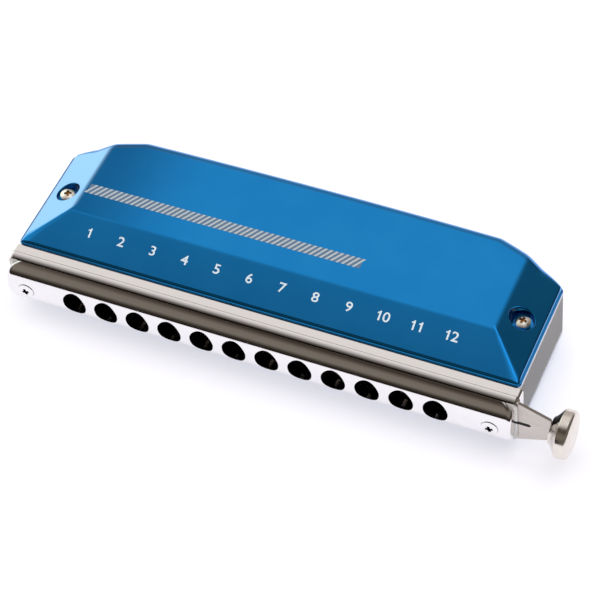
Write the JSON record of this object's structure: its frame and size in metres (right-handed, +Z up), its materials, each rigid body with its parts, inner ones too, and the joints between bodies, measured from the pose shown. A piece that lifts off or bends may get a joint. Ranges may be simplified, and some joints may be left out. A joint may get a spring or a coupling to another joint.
{
  "type": "chromatic harmonica",
  "caption": "Chromatic harmonica with blue metal covers, a chromed mouthpiece with a row of holes, and a sprung slide that a round button pushes in",
  "frame": {"origin": "Centre of the flat face of the bottom cover, which the harmonica rests on", "axes": "+X runs along the row of holes to the slide button, +Y from the mouthpiece to the back, +Z up out of the top cover"},
  "size_m": [0.1546, 0.0511, 0.0274],
  "materials": {
    "blue_cover": "mirror-bright metallic blue lacquer",
    "chrome_mouthpiece": "polished chrome plate",
    "comb_body": "satin metallised plastic",
    "slide_plates": "bright nickel plate",
    "nickel_slide": "bright nickel plate",
    "spring_steel": "drawn wire",
    "bumper_rubber": "milky silicone tube",
    "reed_brass": "rolled brass",
    "cover_screws": "polished",
    "plate_screws": "nickel plated",
    "mouthpiece_screws": "nickel plated"
  },
  "bodies": {
    "harmonica_body": {"bottom_cover": "blue_cover", "bottom_cover_screw_left": "cover_screws", "bottom_cover_screw_right": "cover_screws", "comb": "comb_body", "lower_plate_screw_1": "plate_screws", "lower_plate_screw_2": "plate_screws", "lower_plate_screw_3": "plate_screws", "lower_plate_screw_4": "plate_screws", "lower_plate_screw_5": "plate_screws", "lower_plate_screw_6": "plate_screws", "lower_reed_plate": "reed_brass", "mouthpiece": "chrome_mouthpiece", "mouthpiece_screw_left": "mouthpiece_screws", "mouthpiece_screw_right": "mouthpiece_screws", "slide_back_plate": "slide_plates", "slide_bumper": "bumper_rubber", "slide_front_plate": "slide_plates", "slide_spring": "spring_steel", "top_cover": "blue_cover", "top_cover_screw_left": "cover_screws", "top_cover_screw_right": "cover_screws", "upper_plate_screw_1": "plate_screws", "upper_plate_screw_2": "plate_screws", "upper_plate_screw_3": "plate_screws", "upper_plate_screw_4": "plate_screws", "upper_plate_screw_5": "plate_screws", "upper_plate_screw_6": "plate_screws", "upper_reed_plate": "reed_brass"},
    "slide_body": {"slide": "nickel_slide", "slide_button": "nickel_slide"}
  },
  "joints": [
    {"name": "slide_press", "type": "slide", "parent": "harmonica_body", "child": "slide_body", "axis": [-1, 0, 0], "range_m": [0, 0.00455], "stiffness_N_per_m": 200, "springref_m": -0.003, "deforming": ["slide_spring"]}
  ]
}
